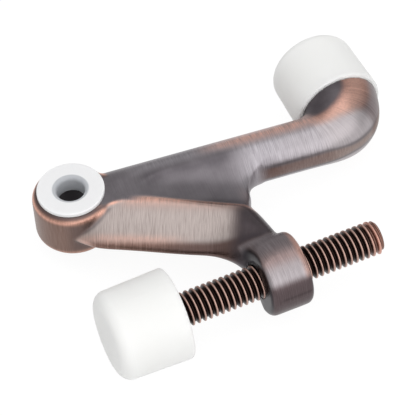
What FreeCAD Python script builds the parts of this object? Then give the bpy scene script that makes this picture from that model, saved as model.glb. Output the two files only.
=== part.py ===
import FreeCAD, Part
import math
import os

# Hinge pin door stop: a cast arm that hangs on a door's hinge pin by its eye.
# One tip rests on the wall side, the other is set by a threaded rod.
# Frame in millimetres: +Z is the hinge pin's axis, upwards.
# The origin is on that axis, in the eye's top face, where the bushing's flange seats.
# +X runs along the threaded rod, towards the casting's bent end.

V = FreeCAD.Vector
Z_AXIS = V(0, 0, 1)

# Threaded rod, 5/16 inch coarse thread, modelled at its crests
ROD_DIA = 7.9
ROD_LENGTH = 58.3
ROD_END_X = 57.9
ROD_LINE_Y = -37.5
ROD_CHAMFER = 0.8
ROD_CLEARANCE = 0.05

# Eye round the hinge pin
EYE_DIA = 17.8
EYE_HEIGHT = 12.0
EYE_TOP_EDGE = 1.9
EYE_FOOT_EDGE = 1.4
EYE_BORE_DIA = 9.4

# Flanged bushing in the eye
PIN_DIA = 6.4
BUSHING_LENGTH = 4.2
FLANGE_DIA = 15.3
FLANGE_THICK = 1.0
FLANGE_EDGE = 0.3
LEAD_IN = 1.0
SLEEVE_DIA = 11.0
SEAT_DEPTH_SPARE = 0.3

# Round arm from the eye to the bent end
ARM_DIA = 11.8
ARM_ANGLE = -5.8
BEND_INNER_RADIUS = 0.6
BEND_STEPS = 6
STRAIGHT_STEPS = 12
ARM_END_DIA = 19.4
ARM_TIP_X = 67.1
SPIGOT_DIA = 7.9
SPIGOT_LENGTH = 9.0

# Branch from the eye: ridged above and below, with a rounded nose along its front
BRANCH_ANGLE = -28.9
BRANCH_HEIGHT = 11.7
BRANCH_BACK = 5.0
RIDGE_OFFSET = 0.7
RIDGE_RISE = 0.12
NOSE_FULLNESS = 1.3
# Places along the branch, and how far out its nose is there
NOSE_STATIONS = ((0.0, 8.6), (3.0, 9.7), (6.0, 11.2), (10.0, 11.3), (16.0, 11.5), (22.0, 11.9), (28.0, 12.2))

# Neck from the branch down into the boss
NECK_WIDTH = 10.6
# Its left side from the corner over the boss, its right side from the fork's corner, in neck widths
NECK_LEFT = ((-0.48, 0.25), (-0.20, -0.04), (-0.02, -0.39), (0.04, -0.79))
NECK_RIGHT = ((-0.08, -0.06), (-0.03, -0.62), (0.06, -1.25), (0.13, -2.04))
# Fullness of its section, and the ridge's share of the way across
NECK_SECTIONS = ((1.4, 0.66), (1.7, 0.56), (2.0, 0.5), (2.1, 0.5))

# Boss round the rod
BOSS_DIA = 16.8
BOSS_LENGTH = 10.2
BOSS_X = 33.6
BOSS_EDGE = 1.4

# Palm between arm and branch, scooped out above and below
CROTCH_WALL_X = 37.2
PALM_TURN_X = 22.0
PALM_TUCK = 4.2
CROTCH_RADIUS = 5.6
CROTCH_FLARE = 3.0
FAIRING_RADIUS = 22.0
FAIRING_EDGE = 0.4
FAIRING_SINK = 0.8
SCOOP_RADIUS = 11.0
SCOOP_ANGLE = -21.3
SCOOP_START_X = 14.3
SCOOP_START_Y = -5.1
SCOOP_SLOPE = 8.6
SCOOP_LENGTH = 60.0

# Moulded bumpers, the same on both tips
BUMPER_DIA = 21.0
BUMPER_NOSE_DIA = 20.2
BUMPER_LENGTH = 16.4
BUMPER_NOSE_EDGE = 2.8
BUMPER_BASE_EDGE = 0.6
SOCKET_DEPTH = 10.0
SOCKET_SPARE = 0.5
SOCKET_CLEARANCE = 0.05

# Measuring slack when an edge is picked
TOLERANCE = 1e-4

# Control points round each skinned section
RING_POINTS = 16

# Worked-out places
MID_Z = -EYE_HEIGHT / 2
EYE_R = EYE_DIA / 2
ARM_R = ARM_DIA / 2
ARM_END_R = ARM_END_DIA / 2
ROD_R = ROD_DIA / 2
ROD_TAIL_X = ROD_END_X - ROD_LENGTH
SCREW_BUMPER_BASE_X = ROD_TAIL_X + SOCKET_DEPTH - SOCKET_SPARE
BEND_X = ARM_TIP_X - ARM_END_R - BEND_INNER_RADIUS


def heading(angle):
    """Unit vector at an angle in plan, in degrees from +X."""
    return V(math.cos(math.radians(angle)), math.sin(math.radians(angle)), 0)


def right_of(angle):
    """Unit vector to the right of a heading in plan."""
    return heading(angle - 90)


def at_mid(x, y):
    """Point in the casting's middle plane."""
    return V(x, y, MID_Z)


def arm_axis(x):
    """Point on the straight arm's axis."""
    return at_mid(x, x * math.tan(math.radians(ARM_ANGLE)))


def arm_start_of_bend():
    """Where the straight arm ends and the pivot of its bend."""
    reach = BEND_INNER_RADIUS + ARM_R
    side = right_of(ARM_ANGLE)
    start = arm_axis(BEND_X + side.x * reach)
    return start, start - side * reach


def ring(left, right, half_height, fullness=2.0, ridge_share=0.5):
    """Control points of a closed section between two side points, with its ridge at a share of the way.

    A fullness of two gives an ellipse, and less a sharper ridge and nose.
    """
    across = right - left
    ridge = left + across * ridge_share
    power = 2.0 / fullness
    swell = 3.0 / (2.0 + math.cos(2 * math.pi / RING_POINTS))
    points = []
    for k in range(RING_POINTS):
        a = 2 * math.pi * k / RING_POINTS
        reach = left - ridge if math.cos(a) > 0 else ridge - right
        u = math.copysign(abs(math.cos(a)) ** power, math.cos(a)) * swell
        w = math.copysign(abs(math.sin(a)) ** power, math.sin(a)) * half_height * swell
        points.append(ridge + reach * u + Z_AXIS * w)
    return points


def skin(rings):
    """Solid with a smooth cubic skin over control rings, flat at both ends."""
    count = len(rings)
    inner = count - 3
    surface = Part.BSplineSurface()
    surface.buildFromPolesMultsKnots(
        rings,
        [4] + [1] * (inner - 1) + [4], [1] * (RING_POINTS + 1),
        [float(k) for k in range(inner + 1)], [float(k) for k in range(RING_POINTS + 1)],
        False, True, 3, 3)
    side = surface.toShape()
    ends = [surface.uIso(0.0), surface.uIso(float(inner))]
    caps = [Part.Face(Part.Wire(end.toShape())) for end in ends]
    shell = Part.makeShell([side] + caps)
    shell.sewShape()
    solid = Part.Solid(shell)
    if solid.Volume < 0:
        solid.reverse()
    return solid


def round_edges(shape, radius, wanted):
    """Fillet the edges that a test picks."""
    edges = [e for e in shape.Edges if wanted(e)]
    return shape.makeFillet(radius, edges)


def edge_lies_at(axis, value):
    """Test for an edge lying in one plane across an axis."""
    def test(edge):
        box = edge.BoundBox
        low, high = {"x": (box.XMin, box.XMax), "y": (box.YMin, box.YMax), "z": (box.ZMin, box.ZMax)}[axis]
        return abs(low - value) < TOLERANCE and abs(high - value) < TOLERANCE
    return test


def revolve(points, base, axis):
    """Turn a closed outline of points about an axis."""
    face = Part.Face(Part.makePolygon(points + points[:1]))
    return face.revolve(base, axis, 360)


# Casting

def eye():
    body = Part.makeCylinder(EYE_R, EYE_HEIGHT, V(0, 0, -EYE_HEIGHT), Z_AXIS)
    body = round_edges(body, EYE_TOP_EDGE, edge_lies_at("z", 0.0))
    return round_edges(body, EYE_FOOT_EDGE, edge_lies_at("z", -EYE_HEIGHT))


def arm():
    """Round bar: straight from the eye, then turning about one pivot into the flared end."""
    start, pivot = arm_start_of_bend()
    turn = 90 - ARM_ANGLE
    root = at_mid(0, 0)

    def round_ring(centre, angle, radius):
        side = right_of(angle) * radius
        return ring(centre + side, centre - side, radius)
    rings = [round_ring(root + (start - root) * (k / STRAIGHT_STEPS), ARM_ANGLE, ARM_R)
             for k in range(STRAIGHT_STEPS)]
    for step in range(BEND_STEPS + 1):
        part = step / BEND_STEPS
        angle = ARM_ANGLE + turn * part
        radius = ARM_R + (ARM_END_R - ARM_R) * math.sin(math.pi / 2 * part) ** 2
        rings.append(round_ring(pivot + right_of(angle) * (BEND_INNER_RADIUS + radius), angle, radius))
    return skin(rings)


def arm_tip_y():
    """Plane of the bent end's face, which the bumper's base meets."""
    return arm_start_of_bend()[1].y


def spigot():
    tip = arm_tip_y()
    base = V(ARM_TIP_X, tip - ARM_R, MID_Z)
    return Part.makeCylinder(SPIGOT_DIA / 2, ARM_R + SPIGOT_LENGTH, base, V(0, 1, 0))


def on_branch(along, out):
    """Point in the middle plane by its place along the branch and out to its front."""
    return heading(BRANCH_ANGLE) * along + right_of(BRANCH_ANGLE) * out + V(0, 0, MID_Z)


def branch():
    """Ridged bar from the eye that turns down into the boss, set out by its two sides in plan."""
    half = BRANCH_HEIGHT / 2 + RIDGE_RISE
    rings = []
    for along, nose in NOSE_STATIONS:
        front = nose - RIDGE_OFFSET
        left = on_branch(along, nose)
        right = on_branch(along, RIDGE_OFFSET - BRANCH_BACK)
        rings.append(ring(left, right, half, NOSE_FULLNESS, front / (front + BRANCH_BACK)))
    left_corner = at_mid(BOSS_X - NECK_WIDTH / 2, ROD_LINE_Y + BOSS_DIA / 2)
    right_corner = at_mid(CROTCH_WALL_X, crotch_centre()[1])
    for left, right, (fullness, share) in zip(NECK_LEFT, NECK_RIGHT, NECK_SECTIONS):
        left_side = left_corner + V(*left, 0) * NECK_WIDTH
        right_side = right_corner + V(*right, 0) * NECK_WIDTH
        rings.append(ring(left_side, right_side, half, fullness, share))
    return skin(rings)


def boss():
    base = V(BOSS_X - BOSS_LENGTH / 2, ROD_LINE_Y, MID_Z)
    body = Part.makeCylinder(BOSS_DIA / 2, BOSS_LENGTH, base, V(1, 0, 0))
    rims = (edge_lies_at("x", base.x), edge_lies_at("x", base.x + BOSS_LENGTH))
    return round_edges(body, BOSS_EDGE, lambda e: rims[0](e) or rims[1](e))


def crotch_centre():
    """Axis of the round corner between the arm's underside and the neck's right side."""
    x = CROTCH_WALL_X + CROTCH_RADIUS
    y = arm_axis(x).y - (ARM_R + CROTCH_RADIUS) / math.cos(math.radians(ARM_ANGLE))
    return x, y


def fairing_centre():
    """Axis of the hollow corner that leads the eye's wall into the branch's ridge, along and out from the branch."""
    out = RIDGE_OFFSET + FAIRING_RADIUS
    along = math.sqrt((EYE_R - FAIRING_SINK + FAIRING_RADIUS) ** 2 - out ** 2)
    return along, out


def palm():
    """Flat plate from the eye to the fork's round corner, between the arm's axis and the branch's ridge."""
    cx, cy = crotch_centre()
    ridge_end = NOSE_STATIONS[-1][0] + BRANCH_HEIGHT
    along, out = fairing_centre()
    share = (EYE_R - FAIRING_SINK) / math.hypot(along, out)
    corners = [
        at_mid(0, 0),
        arm_axis(PALM_TURN_X),
        arm_axis(cx) - V(0, PALM_TUCK, 0),
        at_mid(cx, cy),
        at_mid(CROTCH_WALL_X, cy),
        on_branch(ridge_end, RIDGE_OFFSET),
        on_branch(along, RIDGE_OFFSET),
        on_branch(along * share, out * share),
    ]
    low = V(0, 0, -BRANCH_HEIGHT / 2)
    points = [c + low for c in corners]
    plate = Part.Face(Part.makePolygon(points + points[:1])).extrude(V(0, 0, BRANCH_HEIGHT))
    return plate.cut(crotch_cutter()).cut(fairing_cutter().cut(behind_ridge()))


def behind_ridge():
    """Block on the palm's side of the branch's ridge."""
    reach = FAIRING_RADIUS * 4
    block = Part.makeBox(reach, reach, reach, V(-reach / 2, 0, -reach / 2))
    edge = on_branch(fairing_centre()[0], RIDGE_OFFSET + TOLERANCE * 100)
    block.Placement = FreeCAD.Placement(edge, FreeCAD.Rotation(Z_AXIS, BRANCH_ANGLE))
    return block


def fairing_cutter():
    """Upright round cutter whose flared ends round the edges that it leaves."""
    half = BRANCH_HEIGHT / 2
    centre = on_branch(*fairing_centre())
    soft = FAIRING_EDGE * (1 - math.sqrt(0.5))

    def at(radius, rise):
        return centre + V(radius, 0, rise)
    wall, rim, brink = FAIRING_RADIUS, FAIRING_RADIUS + FAIRING_EDGE, half - FAIRING_EDGE
    edges = [
        Part.makeLine(at(0, half), at(0, -half)),
        Part.makeLine(at(0, -half), at(rim, -half)),
        Part.Arc(at(rim, -half), at(wall + soft, soft - half), at(wall, -brink)).toShape(),
        Part.makeLine(at(wall, -brink), at(wall, brink)),
        Part.Arc(at(wall, brink), at(wall + soft, half - soft), at(rim, half)).toShape(),
        Part.makeLine(at(rim, half), at(0, half)),
    ]
    return Part.Face(Part.Wire(edges)).revolve(centre, Z_AXIS, 360)


def crotch_cutter():
    """Round corner of the fork, waisted so that the web's edge is a rounded nose."""
    cx, cy = crotch_centre()
    half = BRANCH_HEIGHT / 2
    axis_low, axis_high = V(cx, cy, MID_Z - half), V(cx, cy, MID_Z + half)
    flare = V(CROTCH_RADIUS + CROTCH_FLARE, 0, 0)
    waist = V(cx + CROTCH_RADIUS, cy, MID_Z)
    edges = [
        Part.makeLine(axis_high, axis_low),
        Part.makeLine(axis_low, axis_low + flare),
        Part.Arc(axis_low + flare, waist, axis_high + flare).toShape(),
        Part.makeLine(axis_high + flare, axis_high),
    ]
    return Part.Face(Part.Wire(edges)).revolve(axis_low, Z_AXIS, 360)


def scoop():
    """Round hollow that deepens from the palm's flat top towards the fork's corner."""
    slope = math.radians(SCOOP_SLOPE)
    down = heading(SCOOP_ANGLE) * math.cos(slope) - Z_AXIS * math.sin(slope)
    top = MID_Z + BRANCH_HEIGHT / 2
    start = V(SCOOP_START_X, SCOOP_START_Y, top + SCOOP_RADIUS / math.cos(slope))
    return Part.makeCylinder(SCOOP_RADIUS, SCOOP_LENGTH, start - down * (SCOOP_LENGTH / 2), down)


def arm_casting():
    hollow = scoop()
    under = hollow.mirror(V(0, 0, MID_Z), Z_AXIS)
    fork = branch().fuse(palm()).cut(hollow).cut(under)
    body = eye().multiFuse([arm(), fork, boss(), spigot()])
    through = Part.makeCylinder(EYE_BORE_DIA / 2, EYE_HEIGHT * 2, V(0, 0, -EYE_HEIGHT * 1.5), Z_AXIS)
    seat_depth = BUSHING_LENGTH - FLANGE_THICK + SEAT_DEPTH_SPARE
    seat = Part.makeCylinder(SLEEVE_DIA / 2, seat_depth, V(0, 0, -seat_depth), Z_AXIS)
    room = Part.makeCylinder(EYE_R, EYE_HEIGHT, V(0, 0, 0), Z_AXIS)
    thread = Part.makeCylinder(ROD_R + ROD_CLEARANCE, BOSS_LENGTH * 3,
                               V(BOSS_X - BOSS_LENGTH * 1.5, ROD_LINE_Y, MID_Z), V(1, 0, 0))
    return body.cut(through).cut(seat).cut(room).cut(thread).removeSplitter()


# Bushing, rod and bumpers

def pin_bushing():
    bore = PIN_DIA / 2
    rim = FLANGE_DIA / 2
    sleeve = SLEEVE_DIA / 2
    foot = FLANGE_THICK - BUSHING_LENGTH
    outline = [
        V(bore, 0, foot), V(sleeve, 0, foot), V(sleeve, 0, 0), V(rim, 0, 0),
        V(rim, 0, FLANGE_THICK), V(bore, 0, FLANGE_THICK),
    ]
    body = revolve(outline, V(0, 0, 0), Z_AXIS)
    top = edge_lies_at("z", FLANGE_THICK)
    body = round_edges(body, FLANGE_EDGE, lambda e: top(e) and e.Curve.Radius > sleeve)
    return round_edges(body, LEAD_IN, lambda e: top(e) and e.Curve.Radius < sleeve)


def adjusting_screw():
    rod = Part.makeCylinder(ROD_R, ROD_LENGTH, V(ROD_TAIL_X, ROD_LINE_Y, MID_Z), V(1, 0, 0))
    ends = (edge_lies_at("x", ROD_TAIL_X), edge_lies_at("x", ROD_END_X))
    return rod.makeChamfer(ROD_CHAMFER, [e for e in rod.Edges if ends[0](e) or ends[1](e)])


def bumper(base, outward, socket_r):
    """Tapered cap with a blind socket, its base at a point and its nose outward."""
    cap = Part.makeCone(BUMPER_DIA / 2, BUMPER_NOSE_DIA / 2, BUMPER_LENGTH)
    cap = round_edges(cap, BUMPER_NOSE_EDGE, edge_lies_at("z", BUMPER_LENGTH))
    cap = round_edges(cap, BUMPER_BASE_EDGE, edge_lies_at("z", 0.0))
    cap = cap.cut(Part.makeCylinder(socket_r, SOCKET_DEPTH))
    cap.Placement = FreeCAD.Placement(base, FreeCAD.Rotation(Z_AXIS, outward))
    return cap


def screw_bumper():
    return bumper(V(SCREW_BUMPER_BASE_X, ROD_LINE_Y, MID_Z), V(-1, 0, 0), ROD_R + SOCKET_CLEARANCE)


def arm_bumper():
    return bumper(V(ARM_TIP_X, arm_tip_y(), MID_Z), V(0, 1, 0), SPIGOT_DIA / 2)


def main():
    os.makedirs("parts", exist_ok=True)
    pieces = {
        "arm_casting": arm_casting(),
        "pin_bushing": pin_bushing(),
        "adjusting_screw": adjusting_screw(),
        "screw_bumper": screw_bumper(),
        "arm_bumper": arm_bumper(),
    }
    for name, shape in pieces.items():
        solids = shape.Solids
        if len(solids) != 1 or not solids[0].isValid():
            raise ValueError(f"{name}: {len(solids)} solids, valid {[s.isValid() for s in solids]}")
        solids[0].exportStep(f"parts/{name}.step")
        box = shape.BoundBox
        print(f"{name}: volume {shape.Volume:.1f} mm3, x {box.XMin:.2f}..{box.XMax:.2f}, "
              f"y {box.YMin:.2f}..{box.YMax:.2f}, z {box.ZMin:.2f}..{box.ZMax:.2f}")


main()
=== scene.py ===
"""Hinge pin door stop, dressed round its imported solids: a copper-plated casting, a threaded rod and white tips."""

import logging
import math
from dataclasses import dataclass
from enum import Enum
from typing import Any

import bmesh
import bpy
import numpy as np
from mathutils import Matrix, Vector

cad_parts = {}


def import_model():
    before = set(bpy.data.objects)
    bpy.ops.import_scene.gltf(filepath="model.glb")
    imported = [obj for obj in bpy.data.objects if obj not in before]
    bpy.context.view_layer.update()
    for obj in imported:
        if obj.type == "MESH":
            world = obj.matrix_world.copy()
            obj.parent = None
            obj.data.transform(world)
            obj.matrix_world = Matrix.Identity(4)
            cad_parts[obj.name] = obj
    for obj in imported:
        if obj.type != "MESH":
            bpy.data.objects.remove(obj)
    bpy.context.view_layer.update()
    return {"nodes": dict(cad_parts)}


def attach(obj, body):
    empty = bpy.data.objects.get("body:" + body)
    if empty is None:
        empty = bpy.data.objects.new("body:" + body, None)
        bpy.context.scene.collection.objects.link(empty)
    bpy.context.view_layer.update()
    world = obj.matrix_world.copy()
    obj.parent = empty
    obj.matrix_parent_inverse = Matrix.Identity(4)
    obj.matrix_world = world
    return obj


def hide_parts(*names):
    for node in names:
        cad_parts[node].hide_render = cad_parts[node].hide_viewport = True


LOG = logging.getLogger("door_stop")
MM = 0.001
WELD_MM = 0.002
FRAME_PX = 416
Share = np.ndarray | float


class Slot(Enum):
    """Material slots of the part's record, which the new pieces here are not given."""

    CASTING = "antique_copper"
    ROD = "dark_copper_steel"


class Body(Enum):
    """Bodies of the part that the new pieces ride on."""

    STOP = "stop_body"
    ROD = "rod"


def linear(hex_colour: str) -> tuple[float, float, float, float]:
    """Turn an sRGB hex colour to linear RGBA.

    Args:
        hex_colour: Colour such as "#c5bcbf".

    Returns:
        The linear colour with full alpha.
    """
    parts = [int(hex_colour[i:i + 2], 16) / 255 for i in (1, 3, 5)]
    red, green, blue = [c / 12.92 if c <= 0.04045 else ((c + 0.055) / 1.055) ** 2.4 for c in parts]
    return red, green, blue, 1.0


def add_node(tree: bpy.types.NodeTree, kind: str, settings: dict[str, Any] | None = None,
             inputs: dict[str | int, Any] | None = None) -> bpy.types.Node:
    """Add a node, set its properties, and set or link its inputs.

    Args:
        tree: Node tree to add to.
        kind: Node type name.
        settings: Properties set on the node itself.
        inputs: Values or output sockets by input name or index.

    Returns:
        The new node.
    """
    node = tree.nodes.new(kind)
    for name, value in (settings or {}).items():
        setattr(node, name, value)
    for name, value in (inputs or {}).items():
        if isinstance(value, bpy.types.NodeSocket):
            tree.links.new(value, node.inputs[name])
        else:
            node.inputs[name].default_value = value
    return node


def new_material(name: str) -> tuple[bpy.types.Material, bpy.types.NodeTree, bpy.types.Node]:
    """Make an empty node material with its output node.

    Args:
        name: Name of the material.

    Returns:
        The material, its node tree and its output node.
    """
    material = bpy.data.materials.new(name)
    material.use_nodes = True
    tree = material.node_tree
    tree.nodes.clear()
    return material, tree, tree.nodes.new("ShaderNodeOutputMaterial")


def ramp(values: np.ndarray, low: Share, high: Share) -> np.ndarray:
    """Ease from 0 at one value to 1 at another.

    Args:
        values: Values to ease.
        low: Value that gives 0.
        high: Value that gives 1, which may be the smaller one.

    Returns:
        The eased shares.
    """
    share = np.clip((values - low) / (high - low), 0.0, 1.0)
    return share * share * (3.0 - 2.0 * share)


def bell(values: np.ndarray, centre: Share, width: float) -> np.ndarray:
    """Rise to 1 at one value and fall off on both sides of it.

    Args:
        values: Values to rate.
        centre: Value that gives 1.
        width: Distance from it at which about a third is left.

    Returns:
        The shares.
    """
    return np.exp(-((values - centre) / width) ** 2)


def relax(values: np.ndarray, edges: np.ndarray, steps: int) -> np.ndarray:
    """Even out values over a mesh by moving each half way to its neighbours' mean.

    Args:
        values: One row for each vertex.
        edges: Pairs of vertex numbers.
        steps: How many times to do it.

    Returns:
        The evened values.
    """
    count = len(values)
    degree = np.maximum(np.bincount(edges.ravel(), minlength=count), 1)
    start, end = edges[:, 0], edges[:, 1]
    for _ in range(steps):
        columns = [np.bincount(start, values[end, k], count) + np.bincount(end, values[start, k], count)
                   for k in range(values.shape[1])]
        values = 0.5 * values + 0.5 * np.stack(columns, axis=1) / degree[:, None]
    return values


def relax_share(share: np.ndarray, edges: np.ndarray, steps: int) -> np.ndarray:
    """Even out one number for each vertex over a mesh."""
    return relax(share[:, None], edges, steps)[:, 0]


def towards(at: np.ndarray, aim: np.ndarray, share: np.ndarray) -> np.ndarray:
    """Move points part of the way to others."""
    return at + (aim - at) * share[:, None]


def plan_heading(degrees: float) -> np.ndarray:
    """Unit vector at an angle in plan from +X."""
    return np.array([math.cos(math.radians(degrees)), math.sin(math.radians(degrees))])


def plan_distance(at: np.ndarray, place: tuple[float, float]) -> np.ndarray:
    """Distance of points from a place in plan."""
    return np.hypot(at[:, 0] - place[0], at[:, 1] - place[1])


def vertex_vectors(mesh: bpy.types.Mesh, name: str) -> np.ndarray:
    """Read a vector of every vertex.

    Args:
        mesh: Mesh to read.
        name: The vertices' property.

    Returns:
        One row for each vertex.
    """
    values = np.empty(len(mesh.vertices) * 3)
    mesh.vertices.foreach_get(name, values)
    return values.reshape(-1, 3)


def place_vertices(mesh: bpy.types.Mesh, at: np.ndarray) -> None:
    """Put a mesh's vertices at points in millimetres."""
    mesh.vertices.foreach_set("co", (at * MM).ravel())
    mesh.update()


@dataclass(frozen=True)
class AntiqueCopper:
    """Zinc die casting plated in copper, blackened and brushed back.

    It gives the eye a lilac-grey sheen where the brush went over it, brown on the walls, near-black in the hollows,
    and bare copper on the ridges, all streaked by the brush. Where the casting's shares follow which way a face turns,
    the sheen is painted highlight and the brown and black are painted shade.
    """

    sheen: str = "#aca7ac"
    warm_sheen: str = "#a89c97"
    slate: str = "#574e53"
    brown: str = "#795f55"
    # This dark tone serves both the real patina and painted shade.
    patina_and_shade: str = "#464146"
    copper: str = "#dca997"
    # The brush's real scratches are about 0.05 mm wide; they are drawn coarser, so that they show.
    stroke_mm: float = 0.22
    stroke_length_mm: float = 4.5
    scratch_depth_mm: float = 0.05
    # Broad strokes are this many times as wide and as long, and add this share to the fine ones.
    broad_widths: float = 4.0
    broad_lengths: float = 2.5
    broad_share: float = 0.3
    grain_mm: float = 0.45
    blotch_mm: float = 6.0
    blotch_least: float = 0.75
    blotch_swing: float = 0.5
    roughness: float = 0.36
    # How far the strokes sway the gloss, the lift and painted light, the bare copper and the shade.
    gloss_sway: float = 0.06
    lift_and_light_sway: float = 0.12
    copper_sway: float = 0.25
    shade_sway: float = 0.15
    # Grain that hides bare copper, how much of the strokes the patina and painted shade hide, and how much light the
    # painted shade and the seam line take.
    copper_hidden: float = 0.5
    patina_and_shade_hides: float = 0.95
    shade_and_seam_takes: float = 0.8

    def build(self) -> bpy.types.Material:
        """Build the finish.

        Returns:
            The material, which reads the casting's stroke, lift_and_painted_light, rust, wear, patina_and_shade, brush
            and shade_and_seam attributes.
        """
        material, tree, output = new_material("antique_copper_brushed")
        stroke, lift_and_painted_light, rust, wear, patina_and_shade, brush, shade_and_seam = [
            add_node(tree, "ShaderNodeAttribute", {"attribute_name": name})
            for name in ("stroke", "lift_and_painted_light", "rust", "wear", "patina_and_shade", "brush", "shade_and_seam")]
        place = add_node(tree, "ShaderNodeTexCoord")
        fine_at = add_node(tree, "ShaderNodeVectorMath", {"operation": "MULTIPLY"}, {
            0: stroke.outputs["Vector"], 1: (1 / self.stroke_mm, 1 / self.stroke_length_mm, 1.0)})
        fine = add_node(tree, "ShaderNodeTexNoise", None, {
            "Vector": fine_at.outputs[0], "Scale": 1.0, "Detail": 2.0, "Roughness": 0.55})
        broad_at = add_node(tree, "ShaderNodeVectorMath", {"operation": "MULTIPLY"}, {
            0: stroke.outputs["Vector"], 1: (1 / (self.broad_widths * self.stroke_mm),
                                             1 / (self.broad_lengths * self.stroke_length_mm), 1.0)})
        broad = add_node(tree, "ShaderNodeTexNoise", None, {
            "Vector": broad_at.outputs[0], "Scale": 1.0, "Detail": 2.0, "Roughness": 0.5})
        blotch = add_node(tree, "ShaderNodeTexNoise", None, {
            "Vector": place.outputs["Object"], "Scale": 1 / (self.blotch_mm * MM), "Detail": 3.0, "Roughness": 0.55})
        grain = add_node(tree, "ShaderNodeTexNoise", None, {
            "Vector": place.outputs["Object"], "Scale": 1 / (self.grain_mm * MM), "Detail": 2.0, "Roughness": 0.6})
        streak = add_node(tree, "ShaderNodeMath", {"operation": "MULTIPLY_ADD"}, {
            0: broad.outputs["Fac"], 1: self.broad_share, 2: fine.outputs["Fac"]})
        bold = add_node(tree, "ShaderNodeMapRange", {"clamp": False}, {
            "Value": streak.outputs[0], "From Min": 0.45, "From Max": 0.85, "To Min": -1.0, "To Max": 1.0})
        reached = add_node(tree, "ShaderNodeMath", {"operation": "MULTIPLY_ADD"}, {
            0: patina_and_shade.outputs["Fac"], 1: -self.patina_and_shade_hides, 2: 1.0})
        brushed = add_node(tree, "ShaderNodeMath", {"operation": "MULTIPLY"}, {
            0: brush.outputs["Fac"], 1: reached.outputs[0]})
        swing = add_node(tree, "ShaderNodeMath", {"operation": "MULTIPLY"}, {
            0: bold.outputs[0], 1: brushed.outputs[0]})

        sheen_tone = add_node(tree, "ShaderNodeMix", {"data_type": "RGBA"}, {
            0: rust.outputs["Fac"], 6: linear(self.sheen), 7: linear(self.warm_sheen)})
        wall_tone = add_node(tree, "ShaderNodeMix", {"data_type": "RGBA"}, {
            0: rust.outputs["Fac"], 6: linear(self.slate), 7: linear(self.brown)})
        # The lift mixes the wall tone towards the sheen: brushing, and also painted highlight and painted shade by
        # face direction.
        tone_mix = add_node(tree, "ShaderNodeMath", {"operation": "MULTIPLY_ADD", "use_clamp": True}, {
            0: swing.outputs[0], 1: self.lift_and_light_sway, 2: lift_and_painted_light.outputs["Fac"]})
        brushed_and_painted_light_tone = add_node(tree, "ShaderNodeMix", {"data_type": "RGBA"}, {
            0: tone_mix.outputs[0], 6: wall_tone.outputs[2], 7: sheen_tone.outputs[2]})
        uneven = add_node(tree, "ShaderNodeMath", {"operation": "MULTIPLY_ADD"}, {
            0: blotch.outputs["Fac"], 1: self.blotch_swing, 2: self.blotch_least})
        # The dark tone is real patina in the hollows, and painted shade where the casting's shares lay it on
        # turned-away faces, corners and bores.
        dark = add_node(tree, "ShaderNodeMath", {"operation": "MULTIPLY", "use_clamp": True}, {
            0: patina_and_shade.outputs["Fac"], 1: uneven.outputs[0]})
        patina_and_shade_tone = add_node(tree, "ShaderNodeMix", {"data_type": "RGBA"}, {
            0: dark.outputs[0], 6: brushed_and_painted_light_tone.outputs[2], 7: linear(self.patina_and_shade)})
        mottled = add_node(tree, "ShaderNodeMath", {"operation": "ADD"}, {
            0: grain.outputs["Fac"], 1: uneven.outputs[0]})
        scuffed = add_node(tree, "ShaderNodeMath", {"operation": "MULTIPLY_ADD"}, {
            0: swing.outputs[0], 1: self.copper_sway, 2: mottled.outputs[0]})
        thinned = add_node(tree, "ShaderNodeMath", {"operation": "SUBTRACT"}, {
            0: scuffed.outputs[0], 1: self.copper_hidden})
        bare = add_node(tree, "ShaderNodeMath", {"operation": "MULTIPLY", "use_clamp": True}, {
            0: wear.outputs["Fac"], 1: thinned.outputs[0]})
        bare_tone = add_node(tree, "ShaderNodeMix", {"data_type": "RGBA"}, {
            0: bare.outputs[0], 6: patina_and_shade_tone.outputs[2], 7: linear(self.copper)})
        # Painted shade in the bores and on the boss's near end, and the dark parting seam, take light away here.
        unshaded = add_node(tree, "ShaderNodeMath", {"operation": "MULTIPLY_ADD"}, {
            0: shade_and_seam.outputs["Fac"], 1: -self.shade_and_seam_takes, 2: 1.0})
        shade = add_node(tree, "ShaderNodeMath", {"operation": "MULTIPLY_ADD"}, {
            0: swing.outputs[0], 1: self.shade_sway, 2: unshaded.outputs[0]})
        tone = add_node(tree, "ShaderNodeVectorMath", {"operation": "SCALE"}, {
            0: bare_tone.outputs[2], "Scale": shade.outputs[0]})

        gloss = add_node(tree, "ShaderNodeMapRange", None, {
            "Value": swing.outputs[0], "From Min": -1.0, "From Max": 1.0,
            "To Min": self.roughness - self.gloss_sway, "To Max": self.roughness + self.gloss_sway})
        scratches = add_node(tree, "ShaderNodeBump", None, {
            "Strength": 0.3, "Distance": self.scratch_depth_mm * MM, "Height": swing.outputs[0]})
        shader = add_node(tree, "ShaderNodeBsdfPrincipled", None, {
            "Base Color": tone.outputs[0], "Metallic": 1.0, "Roughness": gloss.outputs[0],
            "Normal": scratches.outputs[0]})
        tree.links.new(shader.outputs[0], output.inputs["Surface"])
        return material


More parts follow.
